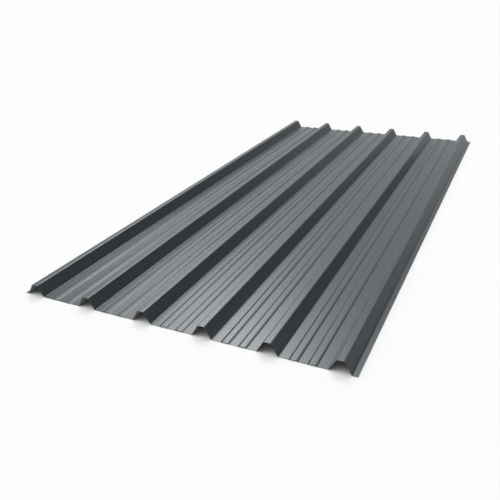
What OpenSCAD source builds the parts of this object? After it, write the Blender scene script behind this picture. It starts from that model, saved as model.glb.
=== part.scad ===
// Trapezoidal (box-profile) roofing sheet, lying flat with its pans down.
// X runs across the ribs, Y along them and Z up. The origin is at the middle of the
// sheet's footprint, on the surface it lies on. All lengths are in millimetres.

/* [Sheet] */
// Length of the sheet along its ribs
sheet_l = 2300; // [500:50:6000]
// Thickness of the coated steel
sheet_t = 0.7; // [0.5:0.1:1.2]
// Width of the flat lip outside the first rib
lip_left_w = 12.5; // [8:0.5:25]
// Width of the flat lip outside the last rib
lip_right_w = 16; // [8:0.5:25]

/* [Ribs] */
// Number of ribs across the sheet
rib_count = 6; // [2:1:8]
// Distance from one rib's middle to the next
rib_pitch = 200; // [180:5:250]
// Height of the profile from the underside of a pan to the top of a crown
rib_depth = 37; // [25:1:45]
// Width of a rib's flat crown between its bend lines
crown_w = 20.5; // [15:0.5:35]
// Width of a rib at its foot between its bend lines
rib_foot_w = 63; // [55:0.5:80]
// Inside radius of the bends at a rib's crown
crown_bend_r = 5; // [1:0.5:5]
// Inside radius of the bends at a rib's foot
rib_foot_bend_r = 3; // [1:0.5:4]

/* [Pan stiffeners] */
// Distance between the middles of the two stiffeners in a pan
stiffener_gap = 52; // [45:1:58]
// Width of a stiffener at its foot
stiffener_foot_w = 28; // [28:0.5:32]
// Width of a stiffener's flat top
stiffener_top_w = 16; // [12:0.5:16]
// Height of a stiffener above the pan
stiffener_h = 3; // [1:0.5:3.5]
// Inside radius of the bends at a stiffener's top
stiffener_top_bend_r = 8; // [2:0.5:8]
// Inside radius of the bends at a stiffener's foot
stiffener_foot_bend_r = 2.5; // [2:0.5:8]

/* [Hidden] */

// Flats that make up each bend
rib_bend_steps = 8;
stiffener_bend_steps = 5;

// Levels of the strip's middle plane
z_pan = sheet_t / 2;
z_crown = rib_depth - sheet_t / 2;

// Overall width, and the middle of each rib with the footprint centred on X = 0
sheet_w = lip_left_w + (rib_count - 1) * rib_pitch + rib_foot_w + lip_right_w;
function rib_x(k) = -sheet_w / 2 + lip_left_w + rib_foot_w / 2 + k * rib_pitch;

// Corners of one raised trapezoid on the middle plane, each as [x, z, bend radius, bend steps]
function trapezoid(x, foot_w, top_w, z_top, foot_r, top_r, n) = [
    [x - foot_w / 2, z_pan, foot_r, n],
    [x - top_w / 2, z_top, top_r, n],
    [x + top_w / 2, z_top, top_r, n],
    [x + foot_w / 2, z_pan, foot_r, n]
];
function rib(k) = trapezoid(
    rib_x(k), rib_foot_w, crown_w, z_crown,
    rib_foot_bend_r + sheet_t / 2, crown_bend_r + sheet_t / 2, rib_bend_steps);
function stiffener(x) = trapezoid(
    x, stiffener_foot_w, stiffener_top_w, z_pan + stiffener_h,
    stiffener_foot_bend_r + sheet_t / 2, stiffener_top_bend_r + sheet_t / 2, stiffener_bend_steps);
function pan_stiffeners(k) = [
    for (side = [-1, 1]) each stiffener(rib_x(k) + rib_pitch / 2 + side * stiffener_gap / 2)
];

// The whole strip from its left edge to its right edge
corners = [
    [-sheet_w / 2, z_pan, 0, 0],
    for (k = [0 : rib_count - 1])
        each k < rib_count - 1 ? concat(rib(k), pan_stiffeners(k)) : rib(k),
    [sheet_w / 2, z_pan, 0, 0]
];
last = len(corners) - 1;

// Plane vectors: unit length, quarter turn to the left, turn by an angle, angle from a to b
function xz(c) = [c[0], c[1]];
function unit(v) = v / norm(v);
function left(v) = [-v[1], v[0]];
function turned(v, a) = [v[0] * cos(a) - v[1] * sin(a), v[0] * sin(a) + v[1] * cos(a)];
function angle(a, b) = atan2(a[0] * b[1] - a[1] * b[0], a * b);

// Points round corner i of a line that runs beside the middle plane at distance off
function bend(i, off) =
    let (
        p = xz(corners[i]),
        r = corners[i][2],
        n = corners[i][3],
        d = unit(p - xz(corners[i - 1])),
        a = angle(d, unit(xz(corners[i + 1]) - p)),
        s = sign(a),
        centre = p - d * r * tan(abs(a) / 2) + s * r * left(d)
    )
    [for (j = [0 : n]) centre - (s * r - off) * turned(left(d), a * j / n)];

// One face of the strip, from left to right
function face(off) = [
    xz(corners[0]) + [0, off],
    for (i = [1 : last - 1]) each bend(i, off),
    xz(corners[last]) + [0, off]
];
function reversed(list) = [for (i = [len(list) - 1 : -1 : 0]) list[i]];

module profiled_sheet() {
    color([0.22, 0.245, 0.26])
        rotate([90, 0, 0])
            linear_extrude(height = sheet_l, center = true)
                polygon(concat(face(-sheet_t / 2), reversed(face(sheet_t / 2))));
}

profiled_sheet();
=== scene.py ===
"""Looks of the profiled roofing sheet: coil-coated weather face, backing coat, cut edges, studio and camera."""

import math

import bpy
from mathutils import Matrix, Vector

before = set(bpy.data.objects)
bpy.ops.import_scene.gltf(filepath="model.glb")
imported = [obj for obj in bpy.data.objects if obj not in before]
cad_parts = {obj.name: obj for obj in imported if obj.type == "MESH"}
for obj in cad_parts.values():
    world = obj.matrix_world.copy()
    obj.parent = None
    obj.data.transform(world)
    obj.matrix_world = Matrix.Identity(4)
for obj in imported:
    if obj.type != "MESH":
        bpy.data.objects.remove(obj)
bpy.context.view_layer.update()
scene = bpy.context.scene
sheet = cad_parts["profiled_sheet"]


def heading(azimuth, elevation):
    """Unit vector at an azimuth from +Y towards +X and an elevation, both in degrees."""
    a, e = math.radians(azimuth), math.radians(elevation)
    return Vector((math.sin(a) * math.cos(e), math.cos(a) * math.cos(e), math.sin(e)))


class Tree:
    """Short ways to add and join shader nodes."""

    def __init__(self, tree):
        self.tree, self.nodes, self.links = tree, tree.nodes, tree.links

    def put(self, value, socket):
        if isinstance(value, bpy.types.NodeSocket):
            self.links.new(value, socket)
        elif value is not None:
            socket.default_value = value

    def node(self, kind, inputs=None, **settings):
        n = self.nodes.new(kind)
        for name, value in settings.items():
            setattr(n, name, value)
        for name, value in (inputs or {}).items():
            self.put(value, n.inputs[name])
        return n

    def math(self, operation, a, b=None, c=None, clamp=False):
        n = self.node("ShaderNodeMath", operation=operation, use_clamp=clamp)
        for i, x in enumerate((a, b, c)):
            self.put(x, n.inputs[i])
        return n.outputs[0]

    def vmath(self, operation, a, b=None):
        n = self.node("ShaderNodeVectorMath", operation=operation)
        self.put(a, n.inputs[0])
        self.put(b, n.inputs[1])
        return n

    def noise(self, vector, scale, detail=2.0, roughness=0.5):
        n = self.node(
            "ShaderNodeTexNoise",
            {"Vector": vector, "Scale": scale, "Detail": detail, "Roughness": roughness},
        )
        return n.outputs["Fac"]

    def spread(self, value, low, high, to_low, to_high):
        n = self.node(
            "ShaderNodeMapRange",
            {"Value": value, "From Min": low, "From Max": high, "To Min": to_low, "To Max": to_high},
        )
        return n.outputs["Result"]

    def mix(self, factor, a, b):
        n = self.node("ShaderNodeMix", data_type="RGBA")
        self.put(factor, n.inputs["Factor"])
        self.put(a, n.inputs[6])
        self.put(b, n.inputs[7])
        return n.outputs[2]


def new_material(name):
    m = bpy.data.materials.new(name)
    m.use_nodes = True
    m.node_tree.nodes.clear()
    t = Tree(m.node_tree)
    out = t.node("ShaderNodeOutputMaterial")
    bsdf = t.node("ShaderNodeBsdfPrincipled")
    t.links.new(bsdf.outputs["BSDF"], out.inputs["Surface"])
    return m, t, bsdf


# ---------------------------------------------------------------- materials


def weather_coat():
    """Satin slate-grey coil coating: faint lengthwise roller streaks, fine mottle and grain, and slack in the pans."""
    m, t, bsdf = new_material("weather_coat")
    at = t.node("ShaderNodeTexCoord").outputs["Object"]
    # Lengths along the sheet count for less, so that patterns run out into streaks
    along = t.vmath("MULTIPLY", at, (1.0, 0.03, 1.0)).outputs[0]
    streaks = t.noise(along, 55.0, 3.0, 0.6)
    clouds = t.noise(at, 2.2, 2.0, 0.5)
    mottle = t.noise(at, 150.0, 2.0, 0.6)
    grain = t.noise(at, 900.0, 1.0, 0.5)
    tone = t.math("ADD", t.math("MULTIPLY", streaks, 0.3), t.math("MULTIPLY", clouds, 0.3))
    tone = t.spread(t.math("MULTIPLY_ADD", mottle, 0.4, tone), 0.3, 0.7, 0.0, 1.0)
    colour = t.mix(tone, (0.0385, 0.0500, 0.0568, 1), (0.0478, 0.0618, 0.0700, 1))
    t.put(colour, bsdf.inputs["Base Color"])
    rough = t.math("ADD", t.math("MULTIPLY", streaks, 0.4), t.math("MULTIPLY", mottle, 0.6))
    t.put(t.spread(rough, 0.3, 0.7, 0.17, 0.21), bsdf.inputs["Roughness"])
    bsdf.inputs["IOR"].default_value = 1.5
    slack = t.node(
        "ShaderNodeBump",
        {"Height": t.noise(t.vmath("MULTIPLY", at, (1.0, 0.35, 1.0)).outputs[0], 9.0, 1.0), "Strength": 0.25, "Distance": 0.0001},
    )
    dimples = t.node(
        "ShaderNodeBump",
        {"Height": mottle, "Strength": 1.0, "Distance": 0.00008, "Normal": slack.outputs[0]},
    )
    peel = t.node(
        "ShaderNodeBump",
        {"Height": grain, "Strength": 0.12, "Distance": 0.0001, "Normal": dimples.outputs[0]},
    )
    t.links.new(peel.outputs[0], bsdf.inputs["Normal"])
    return m


def backing_coat():
    """Thin grey primer on the underside, duller and a little uneven."""
    m, t, bsdf = new_material("backing_coat")
    at = t.node("ShaderNodeTexCoord").outputs["Object"]
    along = t.vmath("MULTIPLY", at, (1.0, 0.03, 1.0)).outputs[0]
    streaks = t.noise(along, 70.0, 3.0, 0.6)
    clouds = t.noise(at, 5.0, 3.0, 0.55)
    tone = t.spread(t.math("ADD", t.math("MULTIPLY", streaks, 0.5), t.math("MULTIPLY", clouds, 0.5)), 0.3, 0.7, 0.0, 1.0)
    t.put(t.mix(tone, (0.205, 0.203, 0.192, 1), (0.245, 0.243, 0.232, 1)), bsdf.inputs["Base Color"])
    t.put(t.spread(streaks, 0.3, 0.7, 0.48, 0.58), bsdf.inputs["Roughness"])
    return m


def cut_edge():
    """Sheared edge: dull zinc and steel with fine marks across the thickness."""
    m, t, bsdf = new_material("cut_edge")
    at = t.node("ShaderNodeTexCoord").outputs["Object"]
    marks = t.noise(t.vmath("MULTIPLY", at, (1.0, 1.0, 0.1)).outputs[0], 1500.0, 2.0, 0.6)
    t.put(t.mix(marks, (0.085, 0.09, 0.094, 1), (0.17, 0.175, 0.18, 1)), bsdf.inputs["Base Color"])
    bsdf.inputs["Metallic"].default_value = 0.6
    t.put(t.spread(marks, 0.3, 0.7, 0.45, 0.6), bsdf.inputs["Roughness"])
    return m


top, under, edge = weather_coat(), backing_coat(), cut_edge()
sheet.data.materials.clear()
for m in (top, under, edge):
    sheet.data.materials.append(m)


# ---------------------------------------------------------------- faces of the sheet

# The sheet's section in metres, as the CAD has it
LENGTH, WIDTH, RIBS, PITCH = 2.3, 1.0915, 6, 0.2
FIRST_RIB, CROWN, FOOT = -0.50175, 0.0205, 0.063
CLIMB = math.hypot((FOOT - CROWN) / 2, 0.0363) - (FOOT - CROWN) / 2  # how much longer a web is than it is wide


def unwrapped(t, geometry):
    """Lays the strip out flat: the weather face, the underside beside it, then a thin band for each cut edge."""
    at = t.node("ShaderNodeSeparateXYZ", {0: t.node("GeometryNodeInputPosition").outputs[0]}).outputs
    facing = t.node("GeometryNodeFieldOnDomain", data_type="FLOAT_VECTOR", domain="FACE")
    t.put(t.node("GeometryNodeInputNormal").outputs[0], facing.inputs[0])
    facing = t.node("ShaderNodeSeparateXYZ", {0: facing.outputs[0]}).outputs
    # Distance across the strip along its bends, from the left edge
    cell = t.math("FLOOR", t.math("DIVIDE", t.math("SUBTRACT", at["X"], FIRST_RIB - PITCH / 2), PITCH))
    beside = t.math("SUBTRACT", t.math("SUBTRACT", at["X"], FIRST_RIB), t.math("MULTIPLY", cell, PITCH))
    down = t.math("DIVIDE", t.math("SUBTRACT", t.math("ABSOLUTE", beside), CROWN / 2), (FOOT - CROWN) / 2, clamp=True)
    climb = t.math("MULTIPLY", t.math("MULTIPLY", t.math("SIGN", beside), down), CLIMB)
    across = t.math("ADD", t.math("ADD", at["X"], climb), t.math("MULTIPLY_ADD", cell, 2 * CLIMB, WIDTH / 2 + CLIMB))
    across = t.math("DIVIDE", across, WIDTH + 2 * RIBS * CLIMB)
    along = t.math("MULTIPLY_ADD", at["Y"], 0.992 / LENGTH, 0.5)
    # 1 on the weather face's points, 0 on the underside's
    over = t.node("GeometryNodeFieldOnDomain", data_type="FLOAT", domain="POINT")
    t.put(t.math("GREATER_THAN", facing["Z"], 0.2), over.inputs[0])
    over = t.math("GREATER_THAN", over.outputs[0], 0.01)
    flat = t.math("GREATER_THAN", t.math("ABSOLUTE", facing["Z"]), 0.2)
    below = t.math("LESS_THAN", facing["Z"], 0.0)
    ends = t.math("GREATER_THAN", t.math("ABSOLUTE", facing["Y"]), 0.7)
    far = t.math("GREATER_THAN", t.math("ADD", facing["X"], facing["Y"]), 0.0)
    flat_u = t.math("MULTIPLY_ADD", across, 0.472, t.math("MULTIPLY_ADD", below, 0.48, 0.004))
    band = t.math("MULTIPLY_ADD", t.math("MULTIPLY_ADD", ends, 2.0, far), 0.0095, 0.9625)
    band_u = t.math("MULTIPLY_ADD", over, 0.006, band)
    band_v = t.math("ADD", along, t.math("MULTIPLY", ends, t.math("SUBTRACT", t.math("MULTIPLY_ADD", across, 0.992, 0.004), along)))
    u = t.math("ADD", band_u, t.math("MULTIPLY", flat, t.math("SUBTRACT", flat_u, band_u)))
    v = t.math("ADD", band_v, t.math("MULTIPLY", flat, t.math("SUBTRACT", along, band_v)))
    store = t.node("GeometryNodeStoreNamedAttribute", {"Geometry": geometry, "Name": "OFBake"}, data_type="FLOAT2", domain="CORNER")
    t.put(t.node("ShaderNodeCombineXYZ", {"X": u, "Y": v}).outputs[0], store.inputs["Value"])
    return store.outputs[0]


def finish_faces(o):
    """Joins the node's faces, smooths its bends and gives each face of the strip its own finish."""
    g = bpy.data.node_groups.new("sheet_faces", "GeometryNodeTree")
    g.interface.new_socket("Geometry", in_out="INPUT", socket_type="NodeSocketGeometry")
    g.interface.new_socket("Geometry", in_out="OUTPUT", socket_type="NodeSocketGeometry")
    t = Tree(g)
    start, end = t.node("NodeGroupInput"), t.node("NodeGroupOutput")
    bare = t.node("GeometryNodeRemoveAttribute", {"Geometry": start.outputs[0], "Name": "custom_normal"})
    weld = t.node("GeometryNodeMergeByDistance", {"Geometry": bare.outputs[0], "Distance": 1e-6})
    smooth = t.node("GeometryNodeSetShadeSmooth", {"Geometry": weld.outputs[0], "Shade Smooth": True}, domain="FACE")
    angle = t.node("GeometryNodeInputMeshEdgeAngle").outputs["Unsigned Angle"]
    sharp = t.node("FunctionNodeCompare", data_type="FLOAT", operation="GREATER_THAN")
    t.put(angle, sharp.inputs[0])
    sharp.inputs[1].default_value = math.radians(40)
    crease = t.node(
        "GeometryNodeSetShadeSmooth",
        {"Geometry": smooth.outputs[0], "Selection": sharp.outputs[0], "Shade Smooth": False},
        domain="EDGE",
    )
    up = t.node("ShaderNodeSeparateXYZ", {0: t.node("GeometryNodeInputNormal").outputs[0]}).outputs["Z"]
    shaped = crease.outputs[0]
    for low, high, index in ((0.2, 2.0, 0), (-2.0, -0.2, 1), (-0.2, 0.2, 2)):
        above = t.node("FunctionNodeCompare", data_type="FLOAT", operation="GREATER_EQUAL")
        below = t.node("FunctionNodeCompare", data_type="FLOAT", operation="LESS_THAN")
        for n, limit in ((above, low), (below, high)):
            t.put(up, n.inputs[0])
            n.inputs[1].default_value = limit
        both = t.node("FunctionNodeBooleanMath", operation="AND")
        t.put(above.outputs[0], both.inputs[0])
        t.put(below.outputs[0], both.inputs[1])
        put = t.node(
            "GeometryNodeSetMaterialIndex",
            {"Geometry": shaped, "Selection": both.outputs[0], "Material Index": index},
        )
        shaped = put.outputs[0]
    t.put(unwrapped(t, shaped), end.inputs[0])
    o.modifiers.new("faces", "NODES").node_group = g
    w = o.modifiers.new("normals", "WEIGHTED_NORMAL")
    w.mode, w.weight, w.keep_sharp = "FACE_AREA", 100, True


finish_faces(sheet)


# ---------------------------------------------------------------- studio

mesh = bpy.data.meshes.new("floor")
half = 60.0
mesh.from_pydata([(-half, -half, 0), (half, -half, 0), (half, half, 0), (-half, half, 0)], [], [(0, 1, 2, 3)])
floor = bpy.data.objects.new("floor", mesh)
scene.collection.objects.link(floor)
floor.location.z = -0.0002
floor_material, t, bsdf = new_material("floor_paint")
speck = t.noise(t.node("ShaderNodeTexCoord").outputs["Object"], 3.0, 2.0)
t.put(t.mix(speck, (0.655, 0.655, 0.655, 1), (0.675, 0.675, 0.675, 1)), bsdf.inputs["Base Color"])
bsdf.inputs["Roughness"].default_value = 1.0
bsdf.inputs["Specular IOR Level"].default_value = 0.0
mesh.materials.append(floor_material)
floor.visible_glossy = False

# Soft boxes round the sheet, each as azimuth, elevation, sharpness and strength
SOFT_BOXES = (
    (-30, 40, 86, 7.0),  # key, behind on the left, with a bright pane
    (-27, 43, 300, 4.5),
    (6, 49, 75, 3.7),  # second key, behind
    (-8, 50, 85, 2.6),
    (-70, 45, 30, 3.0),  # side lights on the left
    (-110, 60, 10, 5.4),
    (-32, 27, 45, 0.25),  # low reflectors behind
    (-28, 20, 9, 0.73),
    (6, 27, 80, 0.57),
    (20, 10, 80, 0.4),
    (42, 19, 13, 0.27),
    (0, 0, 60, 0.8),
    (100, 75, 20, 1.0),  # overhead
    (170, 40, 8, 0.6),  # weak fill in front
)
world = bpy.data.worlds.new("studio")
scene.world = world
world.use_nodes = True
world.node_tree.nodes.clear()
t = Tree(world.node_tree)
way = t.node("ShaderNodeTexCoord").outputs["Generated"]
# Below the horizon the sheet's gloss sees a dim floor
light = t.math("MULTIPLY", t.math("LESS_THAN", t.node("ShaderNodeSeparateXYZ", {0: way}).outputs["Z"], 0.0), 0.3)
for azimuth, elevation, sharpness, strength in SOFT_BOXES:
    facing = t.vmath("DOT_PRODUCT", way, heading(azimuth, elevation)).outputs["Value"]
    lobe = t.math("EXPONENT", t.math("MULTIPLY", t.math("SUBTRACT", facing, 1.0), float(sharpness)))
    light = t.math("MULTIPLY_ADD", lobe, strength, light)
shade = t.node("ShaderNodeBackground", {"Color": light})
white = t.node("ShaderNodeBackground", {"Color": (1, 1, 1, 1)})
seen = t.node("ShaderNodeMixShader", {"Fac": t.node("ShaderNodeLightPath").outputs["Is Camera Ray"]})
t.links.new(shade.outputs[0], seen.inputs[1])
t.links.new(white.outputs[0], seen.inputs[2])
t.links.new(seen.outputs[0], t.node("ShaderNodeOutputWorld").inputs["Surface"])

scene.view_settings.view_transform = "Standard"
scene.view_settings.look = "None"

# ---------------------------------------------------------------- camera

camera = bpy.data.cameras.new("camera")
camera.sensor_width = 36.0
camera.lens = 42.6
camera.clip_end = 200.0
eye = bpy.data.objects.new("camera", camera)
scene.collection.objects.link(eye)
right = Vector((0.90553, 0.42365, -0.02302))
back = Vector((0.39058, -0.8112, 0.4352))
across = back.cross(right)
eye.matrix_world = Matrix.Translation((0.8244, -2.33107, 0.93337)) @ Matrix((right, across, back)).transposed().to_4x4()
scene.camera = eye
